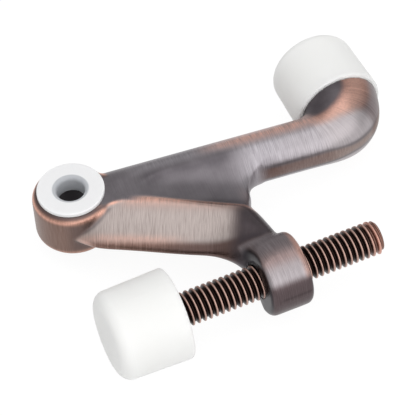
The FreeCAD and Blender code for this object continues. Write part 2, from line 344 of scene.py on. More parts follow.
@dataclass(frozen=True)
class RolledThread:
    """Rolled steel thread with a blackened copper plating: its blackening and painted shade in the grooves, pale
    copper on the rubbed crests.
    """

    # The groove tone is the blackening darkened further as painted shade.
    groove: str = "#221917"
    flank: str = "#513d38"
    crest: str = "#c4a397"
    cut_end: str = "#cf9f90"
    root_mm: float = 3.2
    crest_mm: float = 3.95
    # Where the three tones lie between the root and the crest.
    groove_at: float = 0.15
    flank_at: float = 0.66
    crest_at: float = 0.97
    # Copper shows at the rod's open end: it begins this far from the end, and is full this far from it.
    rubbed_from_mm: float = 3.8
    rubbed_full_mm: float = 1.4
    grit_mm: float = 0.5
    grit_reach_mm: float = 0.16
    pit_depth_mm: float = 0.04
    roughness: float = 0.38

    def build(self, axis_mm: tuple[float, float], end_mm: float) -> bpy.types.Material:
        """Build the finish.

        Args:
            axis_mm: Where the rod's axis is, in Y and Z.
            end_mm: Where the rod's open end is, in X.

        Returns:
            The material, which reads how far a point is from the rod's axis.
        """
        material, tree, output = new_material("antique_copper_thread")
        place = add_node(tree, "ShaderNodeTexCoord")
        parts = add_node(tree, "ShaderNodeSeparateXYZ", None, {0: place.outputs["Object"]})
        across = add_node(tree, "ShaderNodeMath", {"operation": "SUBTRACT"}, {
            0: parts.outputs["Y"], 1: axis_mm[0] * MM})
        above = add_node(tree, "ShaderNodeMath", {"operation": "SUBTRACT"}, {
            0: parts.outputs["Z"], 1: axis_mm[1] * MM})
        flat = add_node(tree, "ShaderNodeCombineXYZ", None, {0: across.outputs[0], 1: above.outputs[0]})
        reach = add_node(tree, "ShaderNodeVectorMath", {"operation": "LENGTH"}, {0: flat.outputs[0]})
        grit = add_node(tree, "ShaderNodeTexNoise", None, {
            "Vector": place.outputs["Object"], "Scale": 1 / (self.grit_mm * MM), "Detail": 3.0})
        uneven = add_node(tree, "ShaderNodeMath", {"operation": "MULTIPLY_ADD"}, {
            0: grit.outputs["Fac"], 1: self.grit_reach_mm * MM, 2: reach.outputs["Value"]})
        mean_grit = self.grit_reach_mm / 2
        height = add_node(tree, "ShaderNodeMapRange", None, {
            "Value": uneven.outputs[0],
            "From Min": (self.root_mm + mean_grit) * MM, "From Max": (self.crest_mm + mean_grit) * MM})
        tone = add_node(tree, "ShaderNodeValToRGB", None, {0: height.outputs[0]})
        stops = tone.color_ramp.elements
        stops[0].position, stops[0].color = self.groove_at, linear(self.groove)
        stops[1].position, stops[1].color = self.crest_at, linear(self.crest)
        stops.new(self.flank_at).color = linear(self.flank)
        gloss = add_node(tree, "ShaderNodeMapRange", None, {
            "Value": grit.outputs["Fac"], "From Min": 0.3, "From Max": 0.7,
            "To Min": self.roughness - 0.05, "To Max": self.roughness + 0.09})
        pits = add_node(tree, "ShaderNodeBump", None, {
            "Strength": 0.25, "Distance": self.pit_depth_mm * MM, "Height": grit.outputs["Fac"]})
        at_end = add_node(tree, "ShaderNodeMapRange", None, {
            "Value": parts.outputs["X"],
            "From Min": (end_mm - self.rubbed_from_mm) * MM, "From Max": (end_mm - self.rubbed_full_mm) * MM})
        raised = add_node(tree, "ShaderNodeMapRange", None, {
            "Value": height.outputs[0], "From Min": 0.3, "From Max": 0.7, "To Min": 0.35, "To Max": 1.0})
        rubbed_end = add_node(tree, "ShaderNodeMath", {"operation": "MULTIPLY"}, {
            0: at_end.outputs[0], 1: raised.outputs[0]})
        whole = add_node(tree, "ShaderNodeMix", {"data_type": "RGBA"}, {
            0: rubbed_end.outputs[0], 6: tone.outputs[0], 7: linear(self.cut_end)})
        shader = add_node(tree, "ShaderNodeBsdfPrincipled", None, {
            "Base Color": whole.outputs[2], "Metallic": 1.0, "Roughness": gloss.outputs[0], "Normal": pits.outputs[0]})
        tree.links.new(shader.outputs[0], output.inputs["Surface"])
        return material


@dataclass(frozen=True)
class MouldedWhite:
    """White polymer from a polished mould.

    It gives the eye an even soft white, with a faint orange-peel skin and a little cloudiness. Where it has a hole,
    the lead-in round the hole is greyed as painted shade.
    """

    name: str
    colour: str
    cloud: str
    roughness: float
    skin_mm: float = 1.6
    skin_depth_mm: float = 0.05
    cloud_mm: float = 9.0
    bleed_mm: float = 4.0
    hole_mm: float = 0.0
    hole: str = "#bcbec2"
    # The painted shade begins this far outside the hole, and is full this far outside it.
    grey_from_mm: float = 1.1
    grey_full_mm: float = 0.75

    def build(self) -> bpy.types.Material:
        """Build the finish.

        Returns:
            The material.
        """
        material, tree, output = new_material(self.name)
        place = add_node(tree, "ShaderNodeTexCoord")
        clouds = add_node(tree, "ShaderNodeTexNoise", None, {
            "Vector": place.outputs["Object"], "Scale": 1 / (self.cloud_mm * MM), "Detail": 2.0})
        skin = add_node(tree, "ShaderNodeTexNoise", None, {
            "Vector": place.outputs["Object"], "Scale": 1 / (self.skin_mm * MM), "Detail": 2.0})
        tone = add_node(tree, "ShaderNodeMix", {"data_type": "RGBA"}, {
            0: clouds.outputs["Fac"], 6: linear(self.colour), 7: linear(self.cloud)})
        gloss = add_node(tree, "ShaderNodeMapRange", None, {
            "Value": skin.outputs["Fac"], "From Min": 0.3, "From Max": 0.7,
            "To Min": self.roughness - 0.04, "To Max": self.roughness + 0.06})
        peel = add_node(tree, "ShaderNodeBump", None, {
            "Strength": 0.12, "Distance": self.skin_depth_mm * MM, "Height": skin.outputs["Fac"]})
        if self.hole_mm:
            # Painted shade: the lead-in round the hole is greyed, for its side walls that turn from the light.
            flat = add_node(tree, "ShaderNodeVectorMath", {"operation": "MULTIPLY"}, {
                0: place.outputs["Object"], 1: (1.0, 1.0, 0.0)})
            reach = add_node(tree, "ShaderNodeVectorMath", {"operation": "LENGTH"}, {0: flat.outputs[0]})
            tone_mix = add_node(tree, "ShaderNodeMapRange", {"interpolation_type": "SMOOTHSTEP"}, {
                "Value": reach.outputs["Value"], "From Min": (self.hole_mm + self.grey_from_mm) * MM,
                "From Max": (self.hole_mm + self.grey_full_mm) * MM})
            tone = add_node(tree, "ShaderNodeMix", {"data_type": "RGBA"}, {
                0: tone_mix.outputs[0], 6: tone.outputs[2], 7: linear(self.hole)})
        shader = add_node(tree, "ShaderNodeBsdfPrincipled", None, {
            "Base Color": tone.outputs[2], "Roughness": gloss.outputs[0], "Normal": peel.outputs[0],
            "Subsurface Weight": 1.0, "Subsurface Radius": (1.0, 1.0, 1.0), "Subsurface Scale": self.bleed_mm * MM})
        tree.links.new(shader.outputs[0], output.inputs["Surface"])
        return material


@dataclass
class Wear:
    """How the brush left a surface, and the light and shade painted on it, in shares from 0 to 1.

    lift_and_painted_light is how far it is brushed back, and also painted highlight and painted shade by which way a
    face turns; rust how warm it is, wear how far it is rubbed to copper, patina_and_shade how black it stayed, with
    painted shade added in corners, bores and on faces turned from the lamps, and brush how strongly the strokes show.
    """

    lift_and_painted_light: Share
    rust: Share
    wear: Share
    patina_and_shade: Share
    brush: Share = 1.0

    def covered(self, top: "Wear", share: np.ndarray) -> "Wear":
        """Lay another wear over this one.

        Args:
            top: The wear that covers.
            share: How far it covers each point.

        Returns:
            The wear that shows.
        """
        over = vars(top)
        return Wear(**{name: under + (over[name] - under) * share for name, under in vars(self).items()})


@dataclass
class Casting:
    """The bent arm, the branch and the boss in one casting, with the soft corners of its mould.

    Sizes are in millimetres. A reach is a pair of distances: the one where an effect begins, and the one where it is
    full.
    """

    arm_angle: float = -5.8
    branch_angle: float = -28.9
    arm_radius: float = 5.9
    pivot: tuple[float, float] = (56.8, 0.77)
    bend_radius: float = 10.0
    pin: tuple[float, float] = (0.0, 0.0)
    eye_radius: float = 8.9
    mid_z: float = -6.0
    rod_y: float = -37.5
    boss_x: float = 33.6
    boss_radius: float = 8.4
    seam_mm: float = 1.2
    seam_width: float = 0.22
    # What fits other pieces keeps the solid's shape: the bores, and the spigot behind this X and above this Y.
    pin_fit: float = 6.4
    rod_fit: float = 4.4
    boss_fit: float = 6.0
    spigot_x: float = 57.0
    spigot_y: float = 0.64
    # Even faces, and how many times each thing is evened out over them.
    voxel_mm: float = 0.3
    free_steps: int = 6
    soften_steps: int = 6
    melt_steps: int = 60
    pour_steps: int = 120
    normal_steps: int = 3
    fillet_steps: int = 80
    blend_steps: int = 450
    fill_steps: int = 4
    share_steps: int = 2
    # The lip in the fork, the shoulder between branch and boss, and the neck are softer than the rest.
    crotch: tuple[float, float] = (37.6, -15.6)
    crotch_reach: tuple[float, float] = (7.5, 4.0)
    shoulder: tuple[float, float, float] = (28.3, -32.5, 6.0)
    pour_reach: tuple[float, float] = (8.0, 3.0)
    settle_reach: tuple[float, float] = (8.5, 4.5)
    neck: tuple[float, float] = (30.5, -30.0)
    neck_reach: tuple[float, float] = (9.5, 5.0)
    bore_reach: tuple[float, float] = (4.6, 6.0)
    # Corners are filled where an even skin lies higher than this, and only this share of it low down by the eye.
    fillet_from: float = 0.02
    blend_from: float = 0.05
    eye_fill: float = 0.3
    # The strokes lean on the branch's slopes, and the eye's wall takes them from another layer of the pattern.
    branch_lean: float = 0.5
    eye_layer: float = 3.0

    def even_mesh(self, node: bpy.types.Object) -> bpy.types.Object:
        """Copy the solid's mesh and lay even faces over it.

        Args:
            node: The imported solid.

        Returns:
            A new object with a fine even mesh.
        """
        mesh = node.data.copy()
        mesh.materials.clear()
        work = bmesh.new()
        work.from_mesh(mesh)
        bmesh.ops.remove_doubles(work, verts=work.verts, dist=WELD_MM * MM)
        work.to_mesh(mesh)
        work.free()
        piece = bpy.data.objects.new("cast_arm", mesh)
        bpy.context.scene.collection.objects.link(piece)
        faces = piece.modifiers.new("even_faces", "REMESH")
        faces.mode = "VOXEL"
        faces.voxel_size = self.voxel_mm * MM
        bpy.context.view_layer.update()
        even = bpy.data.meshes.new_from_object(piece.evaluated_get(bpy.context.evaluated_depsgraph_get()))
        piece.modifiers.remove(faces)
        piece.data = even
        return piece

    def on_arm(self, at: np.ndarray) -> tuple[np.ndarray, np.ndarray]:
        """Places along the arm and to its left, in plan."""
        return at[:, :2] @ plan_heading(self.arm_angle), at[:, :2] @ plan_heading(self.arm_angle + 90)

    def on_branch(self, at: np.ndarray) -> tuple[np.ndarray, np.ndarray]:
        """Places along the branch and outside it to its right, in plan."""
        return at[:, :2] @ plan_heading(self.branch_angle), at[:, :2] @ plan_heading(self.branch_angle - 90)

    def on_bend(self, at: np.ndarray) -> tuple[np.ndarray, np.ndarray, np.ndarray]:
        """Place points on the bend at the arm's end.

        Args:
            at: Points in millimetres.

        Returns:
            Which points are on the bend, how far round it they are in radians, and their way out from its centre.
        """
        off = at[:, :2] - np.array(self.pivot)
        ahead, left = off @ plan_heading(self.arm_angle), off @ plan_heading(self.arm_angle + 90)
        bending = ahead > 0
        turn = np.where(bending, np.arctan2(ahead, -left), 0.0)
        return bending, turn, off / np.maximum(np.linalg.norm(off, axis=1), 0.1)[:, None]

    def from_rod(self, at: np.ndarray) -> np.ndarray:
        """Distance of points from the rod's axis."""
        return np.hypot(at[:, 1] - self.rod_y, at[:, 2] - self.mid_z)

    def strokes(self, at: np.ndarray) -> np.ndarray:
        """Lay brushing over the casting: a place along each bar, and one round it along the strokes.

        Args:
            at: Points in millimetres.

        Returns:
            Stroke coordinates in millimetres, three for each point.
        """
        up = at[:, 2] - self.mid_z
        arm_along, left = self.on_arm(at)
        bending, turn, _ = self.on_bend(at)
        bend_start = np.array(self.pivot) @ plan_heading(self.arm_angle)
        along = np.where(bending, bend_start + turn * self.bend_radius, arm_along)
        around = np.arctan2(up, left) * self.arm_radius

        branch_along, outside = self.on_branch(at)
        round_boss = np.arctan2(up, at[:, 1] - self.rod_y) * self.boss_radius
        round_eye = np.arctan2(at[:, 1], at[:, 0]) * self.eye_radius
        front = ramp(outside, -0.4, 1.0)
        boss = ramp(self.from_rod(at), self.boss_radius + 0.7, self.boss_radius)
        wall = ramp(plan_distance(at, self.pin), self.eye_radius + 0.25, self.eye_radius + 0.02)
        for over_along, over_around, share in ((branch_along, outside - self.branch_lean * np.abs(up), front),
                                               (at[:, 0], round_boss, boss), (round_eye, at[:, 2], wall)):
            along = along + (over_along - along) * share
            around = around + (over_around - around) * share
        return np.stack([along, around, self.eye_layer * wall], axis=1)

    def arm_wear(self, at: np.ndarray, out: np.ndarray) -> Wear:
        """Wear of the round arm and its bend: copper along the top and back, a painted highlight round the outer bend,
        and painted shade below, inside the bend, near the palm and on faces turned from the lamps.

        Args:
            at: Points in millimetres.
            out: Normals there.

        Returns:
            The arm's wear.
        """
        along, _ = self.on_arm(at)
        bending, turn, radial = self.on_bend(at)
        turn = np.degrees(turn)
        on_front = -(out[:, :2] @ plan_heading(self.arm_angle + 90))
        front = np.where(bending, np.sum(out[:, :2] * radial, axis=1), on_front)
        # Tilts are in degrees from straight up or down towards the front. The copper lies on a line that starts
        # behind the arm's top and winds forward round the bend.
        tilt = np.degrees(np.arctan2(front, np.abs(out[:, 2])))
        past = tilt - (-12.0 + 0.36 * np.clip(turn, 0.0, 85.0))
        inside = ramp(turn, 10.0, 36.0)
        outer_bend = ramp(turn, 5.0, 35.0)
        last_bend = ramp(turn, 56.0, 67.0)
        far = ramp(turn, 42.0, 68.0)
        before_copper = ramp(past, 24.0 + 16.0 * far, -2.0 + 10.0 * far)
        behind_copper = ramp(past, -6.0, -20.0)
        copper = before_copper * (1 - (0.45 + 0.55 * inside) * behind_copper)
        # Painted light by tilt: rounding brightens the outer bend as a painted highlight and darkens it past turn 56
        # as painted shade; back, low_front, fork and under are painted shade.
        rounding = ramp(tilt, 24.0, 44.0)
        back = ramp(tilt, -8.0, -26.0)
        low_front = ramp(tilt, 38.0, 56.0) * ramp(along, 51.0, 45.0)
        fork = ramp(tilt, 50.0, 65.0) * ramp(along, 42.0, 39.0)
        # The underside's dark line, a painted dark reflection, and its brown painted reflection of the floor drop
        # lower round the bend.
        tilt_below = tilt - 8.0 * ramp(turn, 10.0, 45.0)
        under = ramp(tilt_below, 66.0, 78.0) * ramp(along, 41.0, 46.0)
        line = bell(tilt_below, 71.0, 4.0) * ramp(along, 42.0, 47.0) * ramp(turn, 75.0, 55.0)
        lift_and_painted_light = 0.92 + 0.35 * rounding * outer_bend - rounding * last_bend - 0.75 * under - 0.9 * fork
        rust = 0.1 * ramp(along, 44.0, 54.0) + 0.2 * ramp(turn, 0.0, 30.0) + 0.6 * under
        # The patina near the palm and on the inner bend's back-turned faces is painted shade, and line is a painted
        # dark reflection; on the inner bend the copper is laid on a darker brown, also painted shade.
        patina_and_shade = 0.3 * ramp(along, 38.0, 30.0) + 0.85 * inside * ramp(past, 1.0, -12.0) + 0.7 * line
        return Wear(lift_and_painted_light=lift_and_painted_light - 0.3 * back - 0.25 * low_front - 0.55 * copper * inside,
                    rust=rust + 0.6 * copper * inside,
                    wear=(0.6 - 0.08 * inside) * copper * ramp(along, 28.0, 40.0),
                    patina_and_shade=patina_and_shade, brush=1.0 - 0.35 * ramp(turn, 15.0, 50.0))

    def palm_wear(self, at: np.ndarray) -> Wear:
        """Wear of the flat and the hollow between arm and branch, which the brush hardly reached: their dark is partly
        patina and partly painted shade.

        Args:
            at: Points in millimetres.

        Returns:
            The palm's wear.
        """
        along, across = self.on_arm(at)
        crease = bell(across, -2.0, 1.4) * ramp(along, 15.0, 20.0)
        return Wear(lift_and_painted_light=1.0, rust=0.1, wear=0.0, patina_and_shade=0.62 + 0.03 * ramp(along, 14.0, 19.0) + 0.17 * crease)

    def branch_wear(self, at: np.ndarray, rise: np.ndarray) -> Wear:
        """Wear of the branch: copper on its ridge and above its nose, brown under the nose with painted shade there,
        and a painted shadow in the corner by the eye.

        Args:
            at: Points in millimetres.
            rise: How far an even skin would lie over each point, below nought on ridges.

        Returns:
            The branch's wear.
        """
        along, outside = self.on_branch(at)
        past_eye = ramp(along, 9.0, 14.0)
        ridge = 0.55 * bell(outside, 1.0, 0.8) * past_eye
        glow = 0.28 * bell(outside, 2.0, 1.4) * past_eye
        fairing = 0.95 * ramp(-rise, 0.06, 0.2) * ramp(along, 19.0, 14.0) * ramp(outside, 7.0, 5.0)
        nose = 0.4 * bell(outside, 9.8, 0.8) * ramp(along, 30.0, 18.0)
        # Painted shadow in the concave corner where the branch leaves the eye, and painted shade under the nose.
        corner = 0.7 * ramp(rise, 0.03, 0.14) * ramp(along, 15.0, 9.0)
        below_ridge = 0.16 * bell(outside, 2.9, 1.2)
        under_nose = 0.4 * ramp(along, 16.0, 28.0) * ramp(outside, 9.3, 11.0)
        return Wear(lift_and_painted_light=ramp(outside, 10.9, 9.7), rust=0.9, wear=np.clip(ridge + glow + fairing + nose, 0, 1),
                    patina_and_shade=corner + below_ridge + under_nose)

    def boss_wear(self, at: np.ndarray, out: np.ndarray, rise: np.ndarray) -> Wear:
        """Wear of the boss: brushed over the top, with a painted highlight band across its upper front, and painted
        shade below, towards the branch and on its flat ends.

        Args:
            at: Points in millimetres.
            out: Normals there.
            rise: How far an even skin would lie over each point, below nought on ridges.

        Returns:
            The boss's wear.
        """
        angle = np.degrees(np.arctan2(self.rod_y - at[:, 1], np.abs(at[:, 2] - self.mid_z)))
        flat = ramp(np.abs(out[:, 0]), 0.75, 0.95)
        upper = ramp(angle, 62.0, 47.0)
        far_edge = ramp(-rise, 0.16, 0.36) * ramp(at[:, 0] - self.boss_x, 2.0, 4.0)
        top = 0.14 * bell(angle, 14.0, 14.0)
        towards_branch = 0.12 * ramp(angle, 10.0, -20.0)
        towards_front = 0.2 * ramp(angle, 50.0, 64.0)
        # The lift band is a painted highlight; the patina towards the branch, towards the front and on the flat ends
        # is painted shade.
        return Wear(lift_and_painted_light=upper * (0.38 + 0.47 * ramp(angle, 14.0, 34.0)), rust=0.25,
                    wear=(top + 0.5 * far_edge * upper) * (1 - flat),
                    patina_and_shade=0.08 + towards_branch + towards_front + 0.85 * flat, brush=0.8)

    def eye_wear(self, at: np.ndarray) -> Wear:
        """Wear of the eye: brown walls, a copper rim, a ring of painted shade under the bushing's flange, and a
        painted shadow on the wall by the branch.

        Args:
            at: Points in millimetres.

        Returns:
            The eye's wear.
        """
        height = np.abs(at[:, 2] - self.mid_z)
        angle = np.degrees(np.arctan2(at[:, 0], -at[:, 1]))
        rim = np.where(at[:, 2] > self.mid_z, 0.95, 0.55) * bell(height, 4.95, 0.4)
        # Painted shade under the bushing's flange, and a painted shadow on the eye's wall by the branch.
        under_flange = 0.7 * ramp(height, 5.25, 5.6)
        by_branch = 0.45 * ramp(angle, -38.0, -14.0) * ramp(height, 4.4, 3.6)
        return Wear(lift_and_painted_light=0.12, rust=1.0, wear=rim, patina_and_shade=under_flange + by_branch, brush=0.55)

    def shares(self, at: np.ndarray, out: np.ndarray, rise: np.ndarray) -> dict[str, np.ndarray]:
        """Lay the wear of the casting's forms over each other.

        Args:
            at: Points in millimetres.
            out: Normals there.
            rise: How far an even skin would lie over each point, below nought on ridges.

        Returns:
            The wear and painted light that show at each point, and the painted shade and seam line on it, by name.
        """
        along, across = self.on_arm(at)
        down_branch, outside = self.on_branch(at)
        from_pin, from_rod = plan_distance(at, self.pin), self.from_rod(at)
        past_boss, facing_up = at[:, 0] - self.boss_x, np.abs(out[:, 2])
        # Level faces near the eye take the palm's dark tone: partly patina, partly painted shade on faces turned
        # straight up.
        level = ramp(facing_up, 0.972, 0.99) * ramp(along, 16.0, 11.0)
        palm = np.maximum(ramp(across, 1.2, -1.2), ramp(along, 18.0, 12.0))
        hollow = ramp(outside, 1.0, 0.0) * palm * ramp(along, 43.5, 34.5)
        front = ramp(outside, 0.1, 0.9) * ramp(at[:, 0], 39.0, 36.0)
        boss = ramp(from_rod, 9.6, 8.7) * ramp(np.abs(past_boss), 6.4, 5.6)
        eye = ramp(from_pin, 9.7, 9.0) * (1 - ramp(facing_up, 0.94, 0.985) * ramp(at[:, 0], 2.0, 6.0))
        neck = 0.8 * ramp(down_branch, 35.2, 39.6) * ramp(outside, 0.5, 2.5)
        # The bores are painted near-black: painted shade inside the holes.
        bores = np.clip(ramp(from_pin, 6.4, 6.0) + ramp(from_rod, 4.7, 4.3) * boss, 0, 1)

        black = Wear(lift_and_painted_light=0.0, rust=0.5, wear=0.0, patina_and_shade=1.0)
        palm_dark = self.palm_wear(at)
        worn = self.arm_wear(at, out)
        for top, share in ((self.branch_wear(at, rise), front), (palm_dark, hollow), (palm_dark, level),
                           (self.eye_wear(at), eye), (black, neck), (self.boss_wear(at, out, rise), boss),
                           (black, bores)):
            worn = worn.covered(top, share)
        # The boss's near end is darkened as painted shade; the seam is the casting's dark parting line.
        near_face = boss * ramp(-out[:, 0], 0.75, 0.95)
        seam = boss * bell(at[:, 2] - self.mid_z, self.seam_mm, self.seam_width)
        seam *= ramp(self.rod_y - at[:, 1], 6.0, 7.5) * ramp(past_boss, -3.8, -1.8)
        return vars(worn) | {"shade_and_seam": np.maximum.reduce([bores, 0.6 * near_face, 0.55 * seam])}

    def build(self, node: bpy.types.Object, material: bpy.types.Material) -> bpy.types.Object:
        """Build the casting, with filled corners and the attributes that its finish reads.

        Args:
            node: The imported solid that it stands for.
            material: Its finish.

        Returns:
            The casting.
        """
        piece = self.even_mesh(node)
        mesh = piece.data
        at = vertex_vectors(mesh, "co") / MM
        edges = np.empty(len(mesh.edges) * 2, dtype=np.int64)
        mesh.edges.foreach_get("vertices", edges)
        edges = edges.reshape(-1, 2)

        from_pin, from_rod = plan_distance(at, self.pin), self.from_rod(at)
        fitted = (from_rod < self.rod_fit) & (np.abs(at[:, 0] - self.boss_x) < self.boss_fit)
        fitted |= (from_pin < self.pin_fit) | ((at[:, 1] > self.spigot_y) & (at[:, 0] > self.spigot_x))
        free = relax_share(1.0 - fitted.astype(float), edges, self.free_steps) * ~fitted

        at = towards(at, relax(at, edges, self.soften_steps), free)
        from_lip = plan_distance(at, self.crotch)
        half = np.stack([at[:, 0], at[:, 1], np.abs(at[:, 2] - self.mid_z)], axis=1)
        from_shoulder = np.linalg.norm(half - np.array(self.shoulder), axis=1)
        melted = relax(at, edges, self.melt_steps)
        at = towards(at, melted, ramp(from_lip, *self.crotch_reach) * free)
        poured = relax(melted, edges, self.pour_steps)
        at = towards(at, poured, ramp(from_shoulder, *self.pour_reach) * free)
        place_vertices(mesh, at)
        out = relax(vertex_vectors(mesh, "normal"), edges, self.normal_steps)
        out /= np.linalg.norm(out, axis=1)[:, None]

        rise = np.sum((relax(at, edges, self.fillet_steps) - at) * out, axis=1)
        open_corner = np.maximum(ramp(from_pin, 10.0, 15.0), ramp(np.abs(at[:, 2] - self.mid_z), 2.0, 4.5))
        fillet = np.clip(rise - self.fillet_from, 0.0, None) * (self.eye_fill + (1 - self.eye_fill) * open_corner)
        broad = np.sum((relax(at, edges, self.blend_steps) - at) * out, axis=1)
        by_neck = ramp(plan_distance(at, self.neck), *self.neck_reach) * ramp(from_rod, *self.bore_reach)
        blend = np.clip(broad - self.blend_from, 0.0, None) * by_neck
        fill = relax_share(np.maximum(fillet, blend) * free, edges, self.fill_steps) * free
        at = at + out * fill[:, None]
        settled = relax(at, edges, self.melt_steps)
        at = towards(at, settled, ramp(from_shoulder, *self.settle_reach) * free)
        place_vertices(mesh, at)

        for name, values in self.shares(at, out, rise).items():
            share = mesh.attributes.new(name, "FLOAT", "POINT")
            share.data.foreach_set("value", relax_share(values, edges, self.share_steps).astype(np.float32))
        stroke = mesh.attributes.new("stroke", "FLOAT_VECTOR", "POINT")
        stroke.data.foreach_set("vector", self.strokes(at).astype(np.float32).ravel())
        mesh.polygons.foreach_set("use_smooth", np.ones(len(mesh.polygons), dtype=bool))
        mesh.materials.clear()
        mesh.materials.append(material)
        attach(piece, Body.STOP.value)
        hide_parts("arm_casting")
        return piece


@dataclass
class ThreadedRod:
    """Rod with a coarse rolled thread from end to end and chamfered flat ends."""

    tail_x: float = -0.4
    end_x: float = 57.9
    axis: tuple[float, float] = (-37.5, -6.0)
    crest_mm: float = 3.95
    depth_mm: float = 0.76
    pitch_mm: float = 1.411
    chamfer_mm: float = 0.8
    segments: int = 56
    profile: int = 12
    run_in: int = 2
    root_flat: float = 0.12
    crest_flat: float = 0.92
    sliver_mm: float = 0.001
    # A face with this many corners is one of the flat ends.
    end_corners: int = 8

    def tree(self, material: bpy.types.Material) -> tuple[bpy.types.NodeTree, dict[str, str]]:
        """Build the node tree that rolls a grid up into the thread.

        Args:
            material: Finish that the tree sets.

        Returns:
            The tree, and the identifiers of its inputs by name.
        """
        tree = bpy.data.node_groups.new("rolled_thread", "GeometryNodeTree")
        face = tree.interface
        sizes = {}
        for name in ("Tail", "End", "Crest", "Depth", "Pitch", "Chamfer"):
            sizes[name] = face.new_socket(name, in_out="INPUT", socket_type="NodeSocketFloat")
        face.new_socket("Geometry", in_out="OUTPUT", socket_type="NodeSocketGeometry")
        given = add_node(tree, "NodeGroupInput").outputs
        turns = math.ceil((self.end_x - self.tail_x) / self.pitch_mm) + self.run_in
        columns, rows = turns * self.segments + 1, self.profile + 1

        grid = add_node(tree, "GeometryNodeMeshGrid", None, {
            "Size X": 1.0, "Size Y": 1.0, "Vertices X": columns, "Vertices Y": rows})
        index = add_node(tree, "GeometryNodeInputIndex")
        groove = add_node(tree, "ShaderNodeMapRange", {"interpolation_type": "SMOOTHSTEP"}, {
            "From Min": self.root_flat, "From Max": self.crest_flat, "To Min": 1.0, "To Max": 0.0})
        made = {"index": index.outputs[0], "groove": groove.outputs[0]} | {name: given[name] for name in sizes}
        # Each column of the grid is one step round the rod, and each row one step along one pitch of the profile. The
        # run-in and the last turn are pressed flat against the rod's ends.
        for name, operation, *terms in (
                ("line", "DIVIDE", "index", float(rows)),
                ("column", "FLOOR", "line"),
                ("first", "MULTIPLY", "column", float(rows)),
                ("row", "SUBTRACT", "index", "first"),
                ("turn", "DIVIDE", "column", float(self.segments)),
                ("part", "DIVIDE", "row", float(self.profile)),
                ("pitches", "ADD", "turn", "part"),
                ("begun", "SUBTRACT", "pitches", float(self.run_in)),
                ("travel", "MULTIPLY_ADD", "begun", "Pitch", "Tail"),
                ("after_tail", "MAXIMUM", "travel", "Tail"),
                ("x", "MINIMUM", "after_tail", "End"),
                ("sides", "MULTIPLY_ADD", "part", 2.0, -1.0),
                ("from_groove", "ABSOLUTE", "sides"),
                ("cut", "MULTIPLY", "groove", "Depth"),
                ("ridge", "SUBTRACT", "Crest", "cut"),
                ("from_tail", "SUBTRACT", "x", "Tail"),
                ("from_end", "SUBTRACT", "End", "x"),
                ("from_face", "MINIMUM", "from_tail", "from_end"),
                ("face_radius", "SUBTRACT", "Crest", "Chamfer"),
                ("bevel", "ADD", "face_radius", "from_face"),
                ("radius", "MINIMUM", "ridge", "bevel"),
                ("angle", "MULTIPLY", "turn", 2 * math.pi),
                ("across", "COSINE", "angle"),
                ("above", "SINE", "angle"),
                ("y", "MULTIPLY_ADD", "across", "radius", self.axis[0] * MM),
                ("z", "MULTIPLY_ADD", "above", "radius", self.axis[1] * MM)):
            made[name] = add_node(tree, "ShaderNodeMath", {"operation": operation}, {
                place: made.get(term, term) for place, term in enumerate(terms)}).outputs[0]
        tree.links.new(made["from_groove"], groove.inputs["Value"])
        point = add_node(tree, "ShaderNodeCombineXYZ", None, {0: made["x"], 1: made["y"], 2: made["z"]})
        rolled = add_node(tree, "GeometryNodeSetPosition", None, {
            "Geometry": grid.outputs["Mesh"], "Position": point.outputs[0]})
        joined = add_node(tree, "GeometryNodeMergeByDistance", None, {
            "Geometry": rolled.outputs[0], "Distance": WELD_MM * MM})
        real = add_node(tree, "GeometryNodeRealizeInstances", None, {"Geometry": joined.outputs[0]})
        dressed = add_node(tree, "GeometryNodeSetMaterial", None, {"Geometry": real.outputs[0], "Material": material})
        add_node(tree, "NodeGroupOutput", None, {"Geometry": dressed.outputs[0]})
        return tree, {name: socket.identifier for name, socket in sizes.items()}

    def build(self, material: bpy.types.Material) -> bpy.types.Object:
        """Build the rod as a plain mesh.

        Args:
            material: Its finish.

        Returns:
            The rod.
        """
        piece = bpy.data.objects.new("threaded_rod", bpy.data.meshes.new("threaded_rod"))
        bpy.context.scene.collection.objects.link(piece)
        roll = piece.modifiers.new("thread", "NODES")
        roll.node_group, sockets = self.tree(material)
        for name, value in (("Tail", self.tail_x), ("End", self.end_x), ("Crest", self.crest_mm),
                            ("Depth", self.depth_mm), ("Pitch", self.pitch_mm), ("Chamfer", self.chamfer_mm)):
            roll[sockets[name]] = value * MM
        bpy.context.view_layer.update()
        mesh = bpy.data.meshes.new_from_object(piece.evaluated_get(bpy.context.evaluated_depsgraph_get()))
        piece.modifiers.remove(roll)
        work = bmesh.new()
        work.from_mesh(mesh)
        bmesh.ops.dissolve_degenerate(work, dist=self.sliver_mm * MM, edges=work.edges)
        bmesh.ops.holes_fill(work, edges=[e for e in work.edges if e.is_boundary], sides=0)
        bmesh.ops.recalc_face_normals(work, faces=work.faces)
        for face in work.faces:
            face.smooth = len(face.verts) < self.end_corners
        work.to_mesh(mesh)
        work.free()
        piece.data = mesh
        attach(piece, Body.ROD.value)
        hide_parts("adjusting_screw")
        return piece


@dataclass(frozen=True)
class Softbox:
    """A soft lamp, whose radiance is 1 where its face is as bright as a white sheet in plain light."""

    name: str
    place_mm: tuple[float, float, float]
    width_mm: float
    height_mm: float
    radiance: float

    def build(self, lit_mm: tuple[float, float, float]) -> None:
        """Hang the lamp.

        Args:
            lit_mm: The point that it faces.
        """
        data = bpy.data.lights.new(self.name, "AREA")
        data.shape = "RECTANGLE"
        data.size = self.width_mm * MM
        data.size_y = self.height_mm * MM
        data.energy = self.radiance * math.pi * data.size * data.size_y
        lamp = bpy.data.objects.new(self.name, data)
        lamp.location = Vector(self.place_mm) * MM
        lamp.rotation_euler = (Vector(lit_mm) - Vector(self.place_mm)).to_track_quat("-Z", "Y").to_euler()
        bpy.context.scene.collection.objects.link(lamp)


